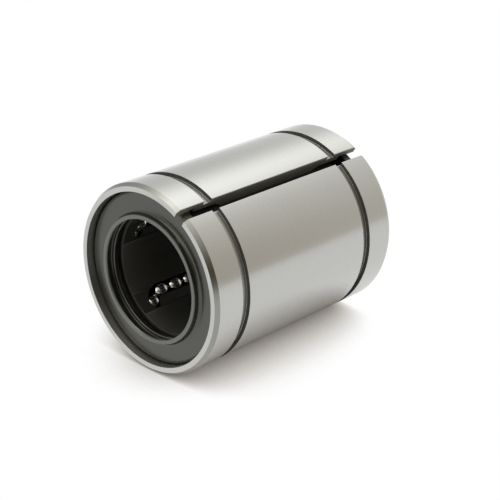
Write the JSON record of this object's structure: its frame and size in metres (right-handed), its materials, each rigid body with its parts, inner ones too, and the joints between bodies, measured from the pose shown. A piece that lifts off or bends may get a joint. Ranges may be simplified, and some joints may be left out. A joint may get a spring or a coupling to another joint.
{
  "type": "adjustable linear ball bushing",
  "caption": "Slit cylindrical linear ball bushing: recirculating ball rows in a moulded retainer, clip grooves outside and a wiper seal at each end, for sliding along a round shaft.",
  "frame": {"origin": "centre of the front end face, on the shaft axis, at the bottom of the standing bushing", "axes": "+Z along the shaft axis from the front end to the rear end, +Y through the middle of the slit"},
  "size_m": [0.032, 0.032, 0.042],
  "materials": {
    "ground_bearing_steel": "ground",
    "spring_steel": "blued",
    "black_resin": "moulded",
    "seal_rubber": "moulded matt",
    "bearing_balls": "lapped mirror"
  },
  "bodies": {
    "bushing": {"outer_cylinder": "ground_bearing_steel", "ball_retainer": "black_resin", "seal_front": "seal_rubber", "seal_rear": "seal_rubber", "retaining_ring_front": "spring_steel", "retaining_ring_rear": "spring_steel"},
    "load_row_1": {"load_row_1": "bearing_balls"},
    "return_row_1": {"return_row_1": "bearing_balls"},
    "front_turn_1": {"front_turn_1": "bearing_balls"},
    "rear_turn_1": {"rear_turn_1": "bearing_balls"},
    "load_row_2": {"load_row_2": "bearing_balls"},
    "return_row_2": {"return_row_2": "bearing_balls"},
    "front_turn_2": {"front_turn_2": "bearing_balls"},
    "rear_turn_2": {"rear_turn_2": "bearing_balls"},
    "load_row_3": {"load_row_3": "bearing_balls"},
    "return_row_3": {"return_row_3": "bearing_balls"},
    "front_turn_3": {"front_turn_3": "bearing_balls"},
    "rear_turn_3": {"rear_turn_3": "bearing_balls"},
    "load_row_4": {"load_row_4": "bearing_balls"},
    "return_row_4": {"return_row_4": "bearing_balls"},
    "front_turn_4": {"front_turn_4": "bearing_balls"},
    "rear_turn_4": {"rear_turn_4": "bearing_balls"},
    "load_row_5": {"load_row_5": "bearing_balls"},
    "return_row_5": {"return_row_5": "bearing_balls"},
    "front_turn_5": {"front_turn_5": "bearing_balls"},
    "rear_turn_5": {"rear_turn_5": "bearing_balls"}
  },
  "joints": [
    {"name": "load_row_1_run", "type": "slide", "parent": "bushing", "child": "load_row_1", "axis": [0, 0, 1], "range_m": [-0.00068, 0.00257]},
    {"name": "return_row_1_run", "type": "slide", "parent": "bushing", "child": "return_row_1", "axis": [0, 0, 1], "range_m": [-0.00257, 0.00068]},
    {"name": "front_turn_1_roll", "type": "hinge", "parent": "bushing", "child": "front_turn_1", "pos_m": [0.00079, -0.01182, 0.00962], "axis": [0.2588, -0.9659, 0], "range_deg": [-18.98, 71.04]},
    {"name": "rear_turn_1_roll", "type": "hinge", "parent": "bushing", "child": "rear_turn_1", "pos_m": [0.00079, -0.01182, 0.03238], "axis": [0.2588, -0.9659, 0], "range_deg": [-18.98, 71.04]},
    {"name": "load_row_2_run", "type": "slide", "parent": "bushing", "child": "load_row_2", "axis": [0, 0, 1], "range_m": [-0.00133, 0.00193]},
    {"name": "return_row_2_run", "type": "slide", "parent": "bushing", "child": "return_row_2", "axis": [0, 0, 1], "range_m": [-0.00193, 0.00133]},
    {"name": "front_turn_2_roll", "type": "hinge", "parent": "bushing", "child": "front_turn_2", "pos_m": [0.01148, -0.0029, 0.00962], "axis": [0.9986, -0.0523, 0], "range_deg": [-36.7, 53.32]},
    {"name": "rear_turn_2_roll", "type": "hinge", "parent": "bushing", "child": "rear_turn_2", "pos_m": [0.01148, -0.0029, 0.03238], "axis": [0.9986, -0.0523, 0], "range_deg": [-36.7, 53.32]},
    {"name": "load_row_3_run", "type": "slide", "parent": "bushing", "child": "load_row_3", "axis": [0, 0, 1], "range_m": [-0.00143, 0.00183]},
    {"name": "return_row_3_run", "type": "slide", "parent": "bushing", "child": "return_row_3", "axis": [0, 0, 1], "range_m": [-0.00183, 0.00143]},
    {"name": "front_turn_3_roll", "type": "hinge", "parent": "bushing", "child": "front_turn_3", "pos_m": [0.00631, 0.01002, 0.00962], "axis": [0.3584, 0.9336, 0], "range_deg": [-39.47, 50.55]},
    {"name": "rear_turn_3_roll", "type": "hinge", "parent": "bushing", "child": "rear_turn_3", "pos_m": [0.00631, 0.01002, 0.03238], "axis": [0.3584, 0.9336, 0], "range_deg": [-39.47, 50.55]},
    {"name": "load_row_4_run", "type": "slide", "parent": "bushing", "child": "load_row_4", "axis": [0, 0, 1], "range_m": [-0.00248, 0.00076]},
    {"name": "return_row_4_run", "type": "slide", "parent": "bushing", "child": "return_row_4", "axis": [0, 0, 1], "range_m": [-0.00076, 0.00248]},
    {"name": "front_turn_4_roll", "type": "hinge", "parent": "bushing", "child": "front_turn_4", "pos_m": [-0.00758, 0.0091, 0.00962], "axis": [-0.7771, 0.6293, 0], "range_deg": [-68.83, 21.2]},
    {"name": "rear_turn_4_roll", "type": "hinge", "parent": "bushing", "child": "rear_turn_4", "pos_m": [-0.00758, 0.0091, 0.03238], "axis": [-0.7771, 0.6293, 0], "range_deg": [-68.83, 21.2]},
    {"name": "load_row_5_run", "type": "slide", "parent": "bushing", "child": "load_row_5", "axis": [0, 0, 1], "range_m": [-0.00108, 0.00217]},
    {"name": "return_row_5_run", "type": "slide", "parent": "bushing", "child": "return_row_5", "axis": [0, 0, 1], "range_m": [-0.00217, 0.00108]},
    {"name": "front_turn_5_roll", "type": "hinge", "parent": "bushing", "child": "front_turn_5", "pos_m": [-0.01099, -0.0044, 0.00962], "axis": [-0.8387, -0.5446, 0], "range_deg": [-29.78, 60.24]},
    {"name": "rear_turn_5_roll", "type": "hinge", "parent": "bushing", "child": "rear_turn_5", "pos_m": [-0.01099, -0.0044, 0.03238], "axis": [-0.8387, -0.5446, 0], "range_deg": [-29.78, 60.24]}
  ],
  "couplings": [
    {"joint": "return_row_1_run", "follows": "load_row_1_run", "ratio": -1},
    {"joint": "front_turn_1_roll", "follows": "load_row_1_run", "rad_per_m": 483.32},
    {"joint": "rear_turn_1_roll", "follows": "load_row_1_run", "rad_per_m": 483.32},
    {"joint": "return_row_2_run", "follows": "load_row_2_run", "ratio": -1},
    {"joint": "front_turn_2_roll", "follows": "load_row_2_run", "rad_per_m": 483.32},
    {"joint": "rear_turn_2_roll", "follows": "load_row_2_run", "rad_per_m": 483.32},
    {"joint": "return_row_3_run", "follows": "load_row_3_run", "ratio": -1},
    {"joint": "front_turn_3_roll", "follows": "load_row_3_run", "rad_per_m": 483.32},
    {"joint": "rear_turn_3_roll", "follows": "load_row_3_run", "rad_per_m": 483.32},
    {"joint": "return_row_4_run", "follows": "load_row_4_run", "ratio": -1},
    {"joint": "front_turn_4_roll", "follows": "load_row_4_run", "rad_per_m": 483.32},
    {"joint": "rear_turn_4_roll", "follows": "load_row_4_run", "rad_per_m": 483.32},
    {"joint": "return_row_5_run", "follows": "load_row_5_run", "ratio": -1},
    {"joint": "front_turn_5_roll", "follows": "load_row_5_run", "rad_per_m": 483.32},
    {"joint": "rear_turn_5_roll", "follows": "load_row_5_run", "rad_per_m": 483.32}
  ]
}
